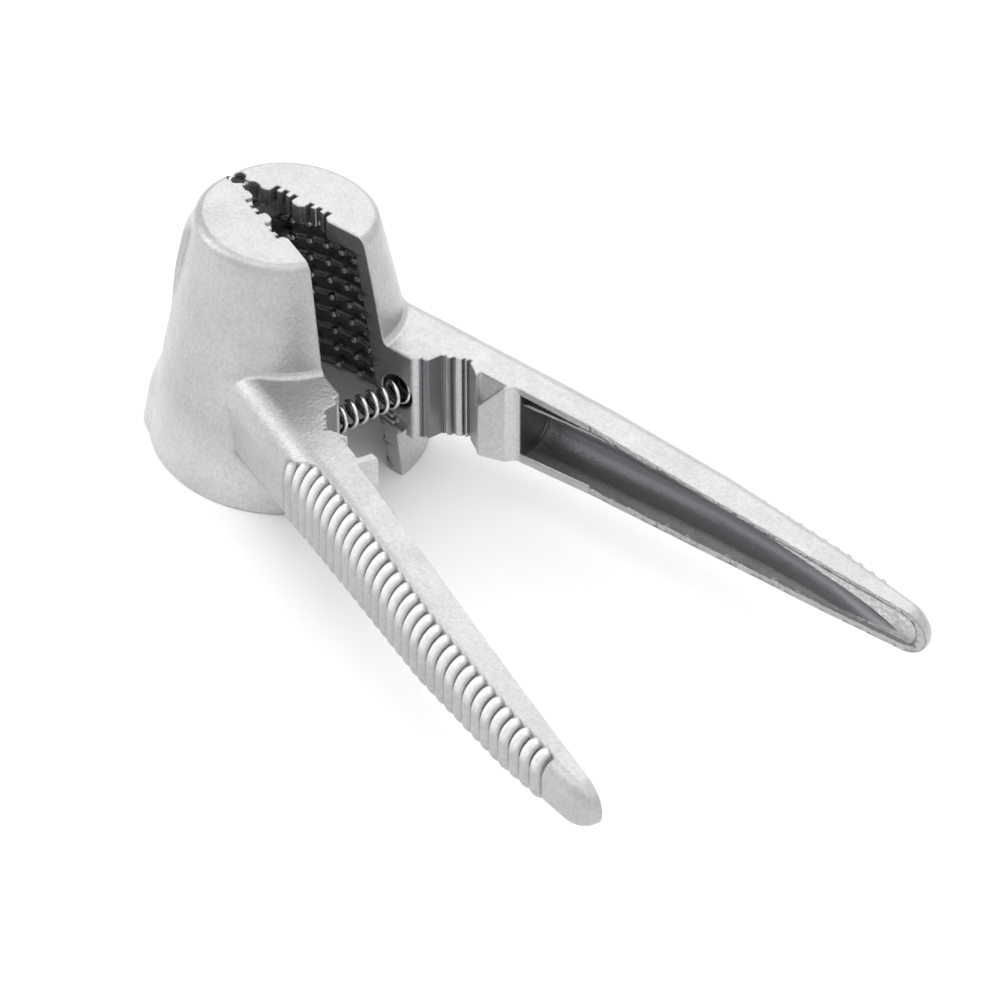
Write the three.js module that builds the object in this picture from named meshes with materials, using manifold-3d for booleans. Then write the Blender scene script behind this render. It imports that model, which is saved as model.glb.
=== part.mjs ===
// Cone-jaw lobster cracker: two mirror-image castings on one hinge pin, held apart by a coil spring.
// Millimetres, +Z up. Each casting is drawn as if the jaws were shut, with its parting face on the
// XZ plane and the cone axis on Z, then turned about the hinge pin to the open, sprung position.
import * as THREE from 'three';
import { mergeVertices } from 'three/addons/utils/BufferGeometryUtils.js';
import Module from 'manifold-3d';

const wasm = await Module();
wasm.setup();

// Driving dimensions.
const CONE_HEIGHT = 53.2;
const CUP = { mouth: { along: 28, across: 24.8 }, crown: { along: 17.9, across: 14.5 } };
const CAVITY = { mouth: { along: 24.5, across: 18.8 }, crown: { along: 14.3, across: 10.8 } };
const CROWN_SHIFT = 0.9;
const CROWN_ROUND = 1.7;
const ROOF = 4.4;
const PARTING_GAP = 0.2;
const OPEN_ANGLE = THREE.MathUtils.degToRad(11);

const HINGE_X = -13.9;
const PIN_RADIUS = 1.4;
const PIN_CLEARANCE = 0.07;
const PIN_SINK = 1.0;
const LUG_RADIUS = 4.4;
const LUG_GAP = 0.3;
const LUG_CLEARANCE = 0.35;
const LUG_WEB = { front: LUG_RADIUS, rear: 12, reach: 9.5, rearLift: 2.6 };
const PIN_FOOT = 0.6;
const LUG_LEVELS = [17, 27, 37.4, 47.2, CONE_HEIGHT];

const ARM_TIP = 151.3;
const ARM_START = 2;
const ARM_INNER = -2;
const GRIP_FACE = 6.65;
const JAW_FLOOR = 6.8;
const CHANNEL_START = 53.5;
const CHANNEL_END = 146.4;
const CHANNEL_WALL = 1.8;

const SPRING = { x: 26.7, z: 20.4, coilRadius: 2.35, wireRadius: 0.28, turns: 11 };
const SPRING_STEPS = 14;
const POCKET_RADIUS = 3.8;
const POCKET_DEPTH = 4.7;
const SPRING_END_GAP = 0.5;

const CAST_METAL = { color: 0xb9b8b4, roughness: 0.42, metalness: 0.9 };
const SPRING_STEEL = { color: 0xc4c6c8, roughness: 0.25, metalness: 1.0 };
const PIN_STEEL = { color: 0x8d8f92, roughness: 0.35, metalness: 1.0 };

// --- Solids -------------------------------------------------------------------------------------

function toSolid(geometry) {
  const plain = geometry.clone();
  plain.deleteAttribute('normal');
  plain.deleteAttribute('uv');
  const merged = mergeVertices(plain, 1e-5);
  const vertProperties = new Float32Array(merged.attributes.position.array);
  const triVerts = new Uint32Array(merged.index.array);
  return new wasm.Manifold(new wasm.Mesh({ numProp: 3, vertProperties, triVerts }));
}

function toGeometry(solid, mirrored) {
  const mesh = solid.getMesh();
  const position = new Float32Array(mesh.vertProperties);
  const index = new Uint32Array(mesh.triVerts);
  if (mirrored) {
    for (let i = 1; i < position.length; i += 3) position[i] = -position[i];
    for (let i = 0; i < index.length; i += 3) [index[i], index[i + 1]] = [index[i + 1], index[i]];
  }
  const geometry = new THREE.BufferGeometry();
  geometry.setAttribute('position', new THREE.BufferAttribute(position, 3));
  geometry.setIndex(new THREE.BufferAttribute(index, 1));
  return geometry;
}

// A capped tube whose cross-section changes along its length: pointAt(t, turn) gives a point of the
// outline for t = 0..1 along the body and turn = 0..1 around it.
function loft(steps, sides, pointAt) {
  const geometry = new THREE.CylinderGeometry(1, 1, 1, sides, steps);
  geometry.deleteAttribute('normal');
  geometry.deleteAttribute('uv');
  const body = mergeVertices(geometry, 1e-4);
  const position = body.attributes.position;
  const centreAt = (t) => {
    const centre = new THREE.Vector3();
    for (let i = 0; i < sides; i += 1) centre.addScaledVector(pointAt(t, i / sides), 1 / sides);
    return centre;
  };
  for (let i = 0; i < position.count; i += 1) {
    const x = position.getX(i);
    const z = position.getZ(i);
    const t = Math.round((0.5 - position.getY(i)) * steps) / steps;
    const onAxis = Math.hypot(x, z) < 0.5;
    const side = Math.round((Math.atan2(x, z) / (2 * Math.PI)) * sides);
    const turn = ((side + sides) % sides) / sides;
    const point = onAxis ? centreAt(t) : pointAt(t, turn);
    position.setXYZ(i, point.x, point.y, point.z);
  }
  const index = body.index.array;
  if (signedVolume(position, index) < 0) {
    for (let i = 0; i < index.length; i += 3) [index[i], index[i + 1]] = [index[i + 1], index[i]];
  }
  return toSolid(body);
}

function signedVolume(position, index) {
  const [a, b, c] = [new THREE.Vector3(), new THREE.Vector3(), new THREE.Vector3()];
  let volume = 0;
  for (let i = 0; i < index.length; i += 3) {
    a.fromBufferAttribute(position, index[i]);
    b.fromBufferAttribute(position, index[i + 1]);
    c.fromBufferAttribute(position, index[i + 2]);
    volume += a.dot(b.cross(c));
  }
  return volume;
}

function box(x0, x1, y0, y1, z0, z1) {
  const geometry = new THREE.BoxGeometry(x1 - x0, y1 - y0, z1 - z0);
  geometry.translate((x0 + x1) / 2, (y0 + y1) / 2, (z0 + z1) / 2);
  return toSolid(geometry);
}

function post(radius, x, y, z0, z1, sides = 32) {
  const geometry = new THREE.CylinderGeometry(radius, radius, z1 - z0, sides);
  geometry.rotateX(Math.PI / 2);
  geometry.translate(x, y, (z0 + z1) / 2);
  return toSolid(geometry);
}

function prism(outline, z0, z1) {
  const shape = outline instanceof THREE.Shape ? outline : new THREE.Shape(outline);
  const depth = z1 - z0;
  const geometry = new THREE.ExtrudeGeometry(shape, { depth, bevelEnabled: false, curveSegments: 6 });
  geometry.translate(0, 0, z0);
  return toSolid(geometry);
}

// --- Cone cup -----------------------------------------------------------------------------------

// A solid cone with the given ovals at mouth and crown, its top at z1 rounded over by topRound.
function cone(ovals, z0, z1, topRound) {
  const steps = 6;
  const roundSteps = topRound > 0 ? 3 : 0;
  const wallTop = z1 - topRound;
  const levels = [];
  for (let i = 0; i <= steps; i += 1) {
    levels.push({ z: THREE.MathUtils.lerp(z0, wallTop, i / steps), inset: 0 });
  }
  for (let i = 1; i <= roundSteps; i += 1) {
    const turn = (i / roundSteps) * (Math.PI / 2);
    levels.push({ z: wallTop + topRound * Math.sin(turn), inset: topRound * (1 - Math.cos(turn)) });
  }
  return loft(levels.length - 1, 64, (t, turn) => {
    const { z, inset } = levels[Math.round(t * (levels.length - 1))];
    const rise = z / CONE_HEIGHT;
    const along = THREE.MathUtils.lerp(ovals.mouth.along, ovals.crown.along, rise) - inset;
    const across = THREE.MathUtils.lerp(ovals.mouth.across, ovals.crown.across, rise) - inset;
    const angle = turn * 2 * Math.PI;
    return new THREE.Vector3(CROWN_SHIFT * rise + along * Math.cos(angle), across * Math.sin(angle), z);
  });
}

// --- Arm: root block and channel handle ----------------------------------------------------------

const armStations = [
  { x: ARM_START, out: 17.2, bottom: 9.6, top: 30.3, roundOut: 5.5, roundUp: 7.5 },
  { x: 29, out: 17.4, bottom: 10.6, top: 30.3, roundOut: 5.5, roundUp: 7.5 },
  { x: 54, out: 17.4, bottom: 12.4, top: 30.3, roundOut: 5.8, roundUp: 7.5 },
  { x: 70, out: 17.4, bottom: 13.2, top: 30.0, roundOut: 5.8, roundUp: 7.2 },
  { x: 98, out: 17.2, bottom: 14.0, top: 28.1, roundOut: 5.2, roundUp: 6.0 },
  { x: 126, out: 15.0, bottom: 14.9, top: 26.4, roundOut: 4.0, roundUp: 4.8 },
  { x: 145, out: 12.3, bottom: 15.8, top: 25.5, roundOut: 2.8, roundUp: 4.0 },
  { x: ARM_TIP, out: 10.8, bottom: 16.3, top: 25.3, roundOut: 2.5, roundUp: 3.8 },
];
// The stop block's face and end on each lever, and the handle's inner face from there past the tip.
const backBlock = [{ x: 50.3, y: 5 }, { x: 52, y: GRIP_FACE }];
const frontBlock = [{ x: 45.8, y: 3.35 }, { x: 52.4, y: 2.5 }, { x: 52, y: GRIP_FACE }];
const gripFace = [
  { x: 70, y: 7 },
  { x: 110, y: 7.1 },
  { x: ARM_TIP + 7, y: 6.9 },
];
const TIP_ROUND = 5.5;
const TIP_STEPS = 6;
const TIP_FLAT = 0.06;

function armAt(x) {
  const last = armStations.length - 1;
  let i = armStations.findIndex((station) => station.x >= x);
  if (i < 0) i = last;
  if (i === 0) i = 1;
  const [a, b] = [armStations[i - 1], armStations[i]];
  const mix = THREE.MathUtils.clamp((x - a.x) / (b.x - a.x), 0, 1);
  const at = {};
  for (const key of Object.keys(a)) at[key] = THREE.MathUtils.lerp(a[key], b[key], mix);
  return at;
}

// One point of the arm's D-shaped section: flat inner face at yIn, both outer edges rounded.
function armPoint(x, turn, yIn, wall) {
  const at = armAt(x);
  const out = at.out - wall;
  const bottom = at.bottom + wall;
  const top = at.top - wall;
  const roundOut = Math.max(at.roundOut - wall, 1);
  const roundUp = Math.max(at.roundUp - wall, 1);
  const roundDown = roundUp * 0.6;
  const corner = turn * 4;
  if (corner < 1) return new THREE.Vector3(x, yIn, THREE.MathUtils.lerp(top, bottom, corner));
  if (corner < 2) return new THREE.Vector3(x, THREE.MathUtils.lerp(yIn, out - roundOut, corner - 1), bottom);
  const sweep = ((corner - 3) * Math.PI) / 2;
  const y = out - roundOut + roundOut * Math.cos(sweep);
  if (sweep < 0) return new THREE.Vector3(x, y, bottom + roundDown + roundDown * Math.sin(sweep));
  return new THREE.Vector3(x, y, top - roundUp + roundUp * Math.sin(sweep));
}

// The arm's body from x0 to a rounded end at x1, its inner side at yIn and its walls inset by wall.
function armBody(yIn, wall, x0, x1) {
  const roundStart = x1 - TIP_ROUND;
  const places = [x0];
  for (const { x } of armStations) {
    if (x > x0 + 1 && x < roundStart - 1) places.push(x);
  }
  for (let i = 0; i <= TIP_STEPS; i += 1) {
    const turn = (i / TIP_STEPS) * (Math.PI / 2);
    places.push(roundStart + TIP_ROUND * Math.sin(turn));
  }
  return loft(places.length - 1, 32, (t, turn) => {
    const x = places[Math.round(t * (places.length - 1))];
    const into = Math.max(0, (x - roundStart) / TIP_ROUND);
    const shrink = Math.sqrt(Math.max(TIP_FLAT, 1 - into * into));
    const at = armAt(x);
    const middle = (at.bottom + at.top) / 2;
    const point = armPoint(x, turn, yIn, wall);
    point.z = middle + (point.z - middle) * shrink;
    if (point.y > GRIP_FACE) {
      point.y = GRIP_FACE + (point.y - GRIP_FACE) * THREE.MathUtils.lerp(1, shrink, 0.6);
    }
    return point;
  });
}

// Everything between the XZ plane and the arm's inner face: the cracking jaw's hollow, the stop
// block's face and end, and the finger gap between the handles.
function innerRelief(blockFace) {
  const clear = ARM_INNER - 3;
  const shape = new THREE.Shape();
  shape.moveTo(31, clear);
  shape.lineTo(31, 0.5);
  shape.lineTo(33.2, 2.4);
  shape.quadraticCurveTo(34.2, JAW_FLOOR, 38.4, JAW_FLOOR);
  shape.quadraticCurveTo(42.6, JAW_FLOOR, 44.6, 3.6);
  for (const { x, y } of [...blockFace, ...gripFace]) shape.lineTo(x, y);
  shape.lineTo(ARM_TIP + 7, clear);
  shape.closePath();
  return prism(shape, 0, CONE_HEIGHT);
}

// The slanting cut across the stop block's upper corner.
function blockCorner() {
  const [start, end, low, high] = [43, 51.6, 24.6, 34];
  const deep = 5.9;
  const profile = new THREE.Shape([
    new THREE.Vector2(start, low),
    new THREE.Vector2(45.2, low),
    new THREE.Vector2(50.2, 30.4),
    new THREE.Vector2(end, high),
    new THREE.Vector2(start, high),
  ]);
  const geometry = new THREE.ExtrudeGeometry(profile, { depth: deep - ARM_INNER, bevelEnabled: false });
  geometry.rotateX(Math.PI / 2);
  geometry.translate(0, deep, 0);
  return toSolid(geometry);
}

// A blind round hole along Y from the parting face.
function springPocket() {
  const over = 2;
  const geometry = new THREE.CylinderGeometry(POCKET_RADIUS, POCKET_RADIUS, POCKET_DEPTH + over, 32);
  geometry.translate(SPRING.x, PARTING_GAP + (POCKET_DEPTH - over) / 2, SPRING.z);
  return toSolid(geometry);
}

// The root is cast hollow from below, with a roof over it.
function rootHollow() {
  return box(28, 49.5, JAW_FLOOR + 2.6, 14.6, 5, 26.6);
}

function arm(blockFace) {
  return armBody(ARM_INNER, 0, ARM_START, ARM_TIP)
    .subtract(innerRelief(blockFace))
    .subtract(blockCorner())
    .subtract(armBody(GRIP_FACE - 2, CHANNEL_WALL, CHANNEL_START, CHANNEL_END))
    .subtract(rootHollow());
}

// --- Levers ---------------------------------------------------------------------------------------

// Keeps one side of the parting plane, and behind the pin keeps clear of the other casting as far
// as the jaws open: the two rear faces are the stop that sets the open position.
function sideOfParting() {
  const behind = 30;
  const rearStop = PARTING_GAP + behind * Math.tan(OPEN_ANGLE);
  const outline = [
    new THREE.Vector2(200, PARTING_GAP),
    new THREE.Vector2(200, 60),
    new THREE.Vector2(HINGE_X - behind, 60),
    new THREE.Vector2(HINGE_X - behind, rearStop),
    new THREE.Vector2(HINGE_X, PARTING_GAP),
  ];
  return prism(outline, -5, 80);
}

function lug(level) {
  const z0 = LUG_LEVELS[level] + LUG_GAP / 2;
  const atCrown = level === LUG_LEVELS.length - 2;
  const z1 = LUG_LEVELS[level + 1] - (atCrown ? 0 : LUG_GAP / 2);
  const barrel = post(LUG_RADIUS, HINGE_X, 0, z0, z1);
  const web = prism([
    new THREE.Vector2(HINGE_X + LUG_WEB.front, 0),
    new THREE.Vector2(HINGE_X + LUG_WEB.front, LUG_WEB.reach),
    new THREE.Vector2(HINGE_X - LUG_WEB.rear, LUG_WEB.reach),
    new THREE.Vector2(HINGE_X - LUG_WEB.rear, LUG_WEB.rearLift),
    new THREE.Vector2(HINGE_X, 0),
  ], z0, z1);
  return barrel.add(web.intersect(sideOfParting()));
}

function lugRoom(level) {
  const z0 = LUG_LEVELS[level] - LUG_GAP / 2;
  const z1 = LUG_LEVELS[level + 1] + LUG_GAP / 2;
  return post(LUG_RADIUS + LUG_CLEARANCE, HINGE_X, 0, z0, z1);
}

function leverCasting(ownLugs, otherLugs, blockFace) {
  const outside = cone(CUP, 0, CONE_HEIGHT, CROWN_ROUND);
  const cavity = cone(CAVITY, -1, CONE_HEIGHT - ROOF, 0);
  let casting = outside.add(arm(blockFace)).intersect(sideOfParting()).subtract(cavity);
  casting = casting.subtract(springPocket());
  for (const level of ownLugs) casting = casting.add(lug(level).intersect(outside));
  for (const level of otherLugs) casting = casting.subtract(lugRoom(level));
  return casting.subtract(post(PIN_RADIUS + PIN_CLEARANCE, HINGE_X, 0, -5, CONE_HEIGHT + 5));
}

function hingePin() {
  return post(PIN_RADIUS, HINGE_X, 0, LUG_LEVELS[0] - PIN_FOOT, CONE_HEIGHT - PIN_SINK);
}

// The spring stands across the gap, centred between the two pockets of the opened jaws.
function coilSpring() {
  const reach = SPRING.x - HINGE_X;
  const mouthGap = reach * Math.sin(OPEN_ANGLE) + PARTING_GAP * Math.cos(OPEN_ANGLE);
  const halfLength = mouthGap + POCKET_DEPTH * Math.cos(OPEN_ANGLE) - SPRING_END_GAP;
  const centreX = HINGE_X + reach * Math.cos(OPEN_ANGLE);
  const steps = SPRING.turns * SPRING_STEPS;
  const points = [];
  for (let i = 0; i <= steps; i += 1) {
    const t = i / steps;
    const angle = t * SPRING.turns * 2 * Math.PI;
    points.push(new THREE.Vector3(
      centreX + SPRING.coilRadius * Math.cos(angle),
      THREE.MathUtils.lerp(-halfLength, halfLength, t),
      SPRING.z + SPRING.coilRadius * Math.sin(angle),
    ));
  }
  const path = new THREE.CatmullRomCurve3(points);
  const wire = new THREE.Shape();
  wire.absarc(0, 0, SPRING.wireRadius, 0, 2 * Math.PI);
  return new THREE.ExtrudeGeometry(wire, { steps, extrudePath: path, bevelEnabled: false, curveSegments: 3 });
}

// --- Assembly -------------------------------------------------------------------------------------

function named(name, geometry, look) {
  const mesh = new THREE.Mesh(geometry, new THREE.MeshStandardMaterial(look));
  mesh.name = name;
  return mesh;
}

function turnedAboutHinge(mesh, angle) {
  const hinge = new THREE.Group();
  hinge.position.x = HINGE_X;
  hinge.rotation.z = angle;
  mesh.position.x = -HINGE_X;
  hinge.add(mesh);
  return hinge;
}

const cracker = new THREE.Group();
const backCasting = toGeometry(leverCasting([1, 3], [0, 2], backBlock), false);
const frontCasting = toGeometry(leverCasting([0, 2], [1, 3], frontBlock), true);
cracker.add(turnedAboutHinge(named('back_lever_casting', backCasting, CAST_METAL), OPEN_ANGLE));
cracker.add(turnedAboutHinge(named('front_lever_casting', frontCasting, CAST_METAL), -OPEN_ANGLE));
cracker.add(named('hinge_pin', toGeometry(hingePin(), false), PIN_STEEL));
cracker.add(named('jaw_spring', coilSpring(), SPRING_STEEL));

// Stand the object on its mouth with the origin under the middle of its bounding box.
cracker.updateMatrixWorld(true);
const bounds = new THREE.Box3().setFromObject(cracker, true);
cracker.position.x = -(bounds.min.x + bounds.max.x) / 2;

export default cracker;
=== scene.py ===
"""Looks of the cone-jaw cracker: two cast levers, the hinge pin and the coil spring.

Each lever is one casting, so it is one mesh. Its surface is written as a signed distance field in
millimetres (negative inside the metal), in the frame of a shut lever: the hinge pin on Z, the
parting face on Y = 0 and the metal at Y > 0. The field is meshed, mirrored for the front lever,
and turned about the hinge to the open position that the CAD model has.
"""
import math

import bpy
import numpy as np
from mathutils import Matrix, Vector


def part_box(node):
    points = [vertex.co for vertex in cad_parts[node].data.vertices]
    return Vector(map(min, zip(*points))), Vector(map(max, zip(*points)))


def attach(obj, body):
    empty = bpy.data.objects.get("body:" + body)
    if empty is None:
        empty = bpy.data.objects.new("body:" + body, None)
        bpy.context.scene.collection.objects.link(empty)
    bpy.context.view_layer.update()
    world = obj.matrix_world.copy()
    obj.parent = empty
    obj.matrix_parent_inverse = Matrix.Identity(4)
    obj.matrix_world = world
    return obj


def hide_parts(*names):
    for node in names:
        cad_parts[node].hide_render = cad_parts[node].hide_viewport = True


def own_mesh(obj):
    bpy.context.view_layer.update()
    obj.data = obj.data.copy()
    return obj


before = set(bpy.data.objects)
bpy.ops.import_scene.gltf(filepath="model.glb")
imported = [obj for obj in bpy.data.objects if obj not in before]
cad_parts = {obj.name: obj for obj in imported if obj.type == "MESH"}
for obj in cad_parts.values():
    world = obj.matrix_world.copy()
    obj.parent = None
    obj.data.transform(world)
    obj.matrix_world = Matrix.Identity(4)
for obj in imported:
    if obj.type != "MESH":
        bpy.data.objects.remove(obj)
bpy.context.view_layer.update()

MM = 0.001
CELL = 0.27   # spacing of the field's samples, mm
BLOCK = 5                            # cells on a side of the blocks that are skipped when empty
NEAR = 1.35                          # blocks this many block sizes from the surface are empty
CHUNK = 40000                        # points evaluated together
MOST_FACES = 198000                  # triangles kept in one lever
# A face's corner is shaded as flat where it is this far from the face's centre, mm, and where the
# slope there is turned this far from the face, degrees: from none of the effect to all of it.
FLAT_REACH = (0.4, 0.7)
FLAT_TURN = (3.0, 9.0)
SETTLE_REACH = 0.03                  # reach of the differences that find the surface, mm
NORMAL_REACH = 0.06                  # and of those that shade it
LEAST_SLOPE = 0.2                    # squared slope below which a vertex is moved with care
GRID_LOW = (-31.0, -6.0, -1.5)       # corner of the sampled box, mm
GRID_WIDTH_Y = 28.0                  # how far the sampled box reaches along Y, mm
GRID_MARGIN = 2.0                    # room past the arm's tip and above the crown, mm

# --- Dimensions, mm, the CAD model's or close to them ----------------------------------------------

OPEN_ANGLE = math.radians(11.0)
HINGE_X = -13.9
CUP_HEIGHT = 53.2
PARTING_GAP = 0.2

# Half-axes of the cup's outline and of its cavity, along X and along Y, at the mouth and at the
# crown. The crown is shifted along X against the mouth.
MOUTH = (28.0, 24.8)
CROWN = (17.4, 14.3)
CAVITY_MOUTH = (24.5, 18.8)
CAVITY_CROWN = (14.3, 10.8)
CROWN_SHIFT = 1.3
CAVITY_TOP = 48.8
CUP_BULGE = 0.7               # how far the cup's side swells at half height, along X
CUP_BULGE_ACROSS = 0.4        # the part of that swell that it has along Y
OVAL_SLACK = 0.98             # keeps the cone's distance from being overstated
CUP_EDGE_CROWN = 1.8          # rounding of the cup's edges at the crown and at the mouth
CUP_EDGE_MOUTH = 0.6

LUG_RADIUS = (4.4, 4.4, 4.4, 2.2)
CROWN_LUG_DROP = 0.9
LUG_CLEARANCE = 0.15
LUG_GAP = 0.3
LUG_LEVELS = (17.0, 27.0, 37.4, 47.2, CUP_HEIGHT)
LUG_EDGE = 0.3
CROWN_LUG_EDGE = 0.15
WEB_BACK = 12.0               # how far a lug's web reaches behind the pin and out from it
WEB_OUT = 9.5
PIN_HOLE = 1.4

ARM_TIP = 151.3
TIP_ROUND = 5.5               # length over which the tip is rounded off
TIP_LEAST = 0.06              # squared share of its section that the arm keeps at the very tip
TIP_THICKNESS = 0.4           # share of its thickness that doesn't shrink at the tip
TIP_EDGE = 1.0
STATION_X = (2.0, 29.0, 54.0, 70.0, 98.0, 126.0, 145.0, ARM_TIP)
STATION_OUT = (17.2, 17.4, 17.4, 17.4, 17.15, 14.9, 11.9, 10.7)
STATION_BOTTOM = (9.6, 10.6, 12.4, 13.2, 14.0, 14.9, 15.8, 16.3)
STATION_TOP = (30.3, 30.3, 30.3, 30.0, 28.1, 26.4, 25.5, 25.3)
STATION_ROUND_OUT = (5.5, 5.5, 5.8, 5.8, 5.2, 4.0, 2.8, 2.5)
STATION_ROUND_UP = (7.5, 7.5, 7.5, 7.2, 6.0, 4.8, 4.0, 3.8)
ARM_LOWER_ROUND = 0.6         # the lower shoulder's height as a part of the upper one's
GRIP_FACE = 6.6

SPRING_X = 26.7
SPRING_Z = 20.4
POCKET_RADIUS = 3.8
POCKET_DEPTH = 4.7


# --- Distance field helpers -------------------------------------------------------------------------

def join(a, b, radius):
    """Union with a fillet."""
    u = np.maximum(radius - a, 0)
    v = np.maximum(radius - b, 0)
    return np.maximum(radius, np.minimum(a, b)) - np.sqrt(u * u + v * v)


def meet(a, b, radius):
    """Intersection with a rounded edge."""
    u = np.maximum(radius + a, 0)
    v = np.maximum(radius + b, 0)
    return np.minimum(-radius, np.maximum(a, b)) + np.sqrt(u * u + v * v)


def cut(a, b, radius):
    """a without b, with a rounded edge."""
    return meet(a, -b, radius)


def smooth(value, start, end):
    """Eases from 0 at start to 1 at end, which may be the smaller of the two."""
    t = np.clip((value - start) / (end - start), 0, 1)
    return t * t * (3 - 2 * t)


def oval(x, y, along, across):
    """Distance to an ellipse with these half-axes."""
    u = x / along
    v = y / across
    reach = np.sqrt(u * u + v * v) + 1e-6
    slope = np.sqrt((u / along) ** 2 + (v / across) ** 2) + 1e-7
    return (reach - 1) * reach / slope


def box(x, y, z, low, high):
    """Signed distance to a box between two corners."""
    parts = [np.maximum(lo - p, p - hi) for p, lo, hi in zip((x, y, z), low, high)]
    outside = sum(np.maximum(p, 0) ** 2 for p in parts)
    inside = np.minimum(np.maximum(np.maximum(parts[0], parts[1]), parts[2]), 0)
    return np.sqrt(outside) + inside


def polygon(x, y, points):
    """Signed distance to a closed outline in the XY plane, negative inside it."""
    nearest = 1e9
    winding = 1.0
    for (ax, ay), (bx, by) in zip(points, points[1:] + points[:1]):
        ex, ey = bx - ax, by - ay
        wx, wy = x - ax, y - ay
        t = np.clip((wx * ex + wy * ey) / (ex * ex + ey * ey), 0, 1)
        nearest = np.minimum(nearest, (wx - ex * t) ** 2 + (wy - ey * t) ** 2)
        above, below = y >= ay, y < by
        left = ex * wy > ey * wx
        crosses = (above & below & left) | (~above & ~below & ~left)
        winding = winding * np.where(crosses, -1.0, 1.0)
    return winding * np.sqrt(nearest)


def lerp_pair(pair_a, pair_b, mix):
    """Two values, each part of the way from one pair to the other."""
    return [a + (b - a) * mix for a, b in zip(pair_a, pair_b)]


# --- The cup half -----------------------------------------------------------------------------------

RIDGE_PITCH = 4.75
RIDGE_FIRST = 1.9
RIDGE_COUNT = 10
RIDGE_HEIGHT = 0.75
RIDGE_SQUASH = 0.8                  # below 1 makes a ridge wider than it is high
RIDGE_CLEAR = (math.radians(142), math.radians(134))   # the ridges fade out between these turns
STUD_RADIUS = 0.85
STUD_STAND = 0.75                   # how far a stud's centre stands in from the wall
STUD_STEP = math.radians(13.5)
STUD_MIDDLE = math.radians(87.5)
STUD_COLUMNS = (-5, 3)              # first and last column of studs, counted from the middle
RIDGE_EDGE = 0.25
STUD_EDGE = 0.2
ROOF_EDGE = 1.2


def cup_outside(x, y, z):
    """The cup's outer surface, with the raised pad behind it."""
    rise = z / CUP_HEIGHT
    along, across = lerp_pair(MOUTH, CROWN, rise)
    swell = CUP_BULGE * 4 * np.clip(rise, 0, 1) * (1 - np.clip(rise, 0, 1))
    side = oval(x - CROWN_SHIFT * rise, y, along + swell, across + swell * CUP_BULGE_ACROSS)
    side = side * OVAL_SLACK
    side = side - rear_pad(x, y, z)
    body = meet(side, z - CUP_HEIGHT, CUP_EDGE_CROWN)
    return meet(body, -z, CUP_EDGE_MOUTH)


def cavity_outline(x, y, z):
    """Distance to the plain cavity's wall, the turn about its axis and the cavity's mean radius."""
    rise = z / CUP_HEIGHT
    along, across = lerp_pair(CAVITY_MOUTH, CAVITY_CROWN, rise)
    wall = oval(x - CROWN_SHIFT * rise, y, along, across) * OVAL_SLACK
    turn = np.arctan2(y / across, (x - CROWN_SHIFT * rise) / along)
    return wall, turn, (along + across) / 2


def cup_cavity(x, y, z):
    """The hollow of the cup, with its level ridges and the studs on them left standing."""
    wall, turn, radius = cavity_outline(x, y, z)
    row = np.clip(np.round((z - RIDGE_FIRST) / RIDGE_PITCH), 0, RIDGE_COUNT - 1)
    dz = z - RIDGE_FIRST - row * RIDGE_PITCH
    clear_of_hinge = smooth(turn, *RIDGE_CLEAR)
    ridge = np.sqrt(wall * wall + (dz * RIDGE_SQUASH) ** 2) - RIDGE_HEIGHT * clear_of_hinge
    column = np.round((turn - STUD_MIDDLE) / STUD_STEP)
    column = np.clip(column, *STUD_COLUMNS)
    ds = (turn - STUD_MIDDLE - column * STUD_STEP) * radius
    stud = np.sqrt((wall + STUD_STAND) ** 2 + dz * dz + ds * ds) - STUD_RADIUS
    hollow = cut(wall, ridge, RIDGE_EDGE)
    hollow = cut(hollow, stud, STUD_EDGE)
    return meet(hollow, z - CAVITY_TOP, ROOF_EDGE)


# Round recesses in the two crown edges that grip a small claw: centre x, half-length, depth.
CROWN_RECESSES = ((-9.7, 1.5, 0.8), (-3.3, 3.7, 1.5), (5.5, 3.9, 1.7))
NOTCH_X = (-5.6, -3.35, -1.1, 3.2, 5.45, 7.7)
NOTCH_WIDTH = 1.05
NOTCH_DEPTH = {1: 2.7, -1: 2.2}     # back lever, front lever
RECESS_FLOOR = 44.0                 # the recesses run down to this height, inside the cavity


def crown_recesses(x, y, z, notch_depth):
    """The round recesses and square notches cut through the crown's parting edge."""
    cuts = 1e3
    for centre, half, depth in CROWN_RECESSES:
        radius = (half * half + depth * depth) / (2 * depth)
        round_recess = np.hypot(x - centre, y - (depth - radius)) - radius
        cuts = np.minimum(cuts, round_recess)
    for notch in NOTCH_X:
        slot = np.maximum(np.abs(x - notch) - NOTCH_WIDTH / 2, y - notch_depth)
        cuts = np.minimum(cuts, slot)
    return np.maximum(cuts, RECESS_FLOOR - z)


# --- The arm ----------------------------------------------------------------------------------------

RIB_PITCH = 3.12
RIB_FIRST = 43.0
RIB_COUNT = 31
RIB_HEIGHT = 1.25
RIB_SINK = 0.75
# How far up the rounded shoulder the ribs reach at these X, in radians from level, on the back lever
# (1) and on the front one (-1).
RIB_END_X = (43.0, 48.0, 80.0, 136.0)
RIB_END_TURN = {1: (0.2, 0.2, 0.2, 0.2), -1: (0.5, 1.0, 1.1, 1.15)}
RIB_LOW_TURN = -1.15
RIB_WIDTH = 0.47              # a rib's half-width as a part of the pitch
RIB_FADE = (2.6, 1.2)         # past the first and last rib: from none of the zone to all of it
RIB_EDGE = (1.6, 0.4)         # and the same up and down the shoulder


def stations(x):
    """The arm's half-section at X: outer face, bottom, top and the two radii of its shoulder."""
    tables = (STATION_OUT, STATION_BOTTOM, STATION_TOP, STATION_ROUND_OUT, STATION_ROUND_UP)
    return [np.interp(x, STATION_X, table) for table in tables]


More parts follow.
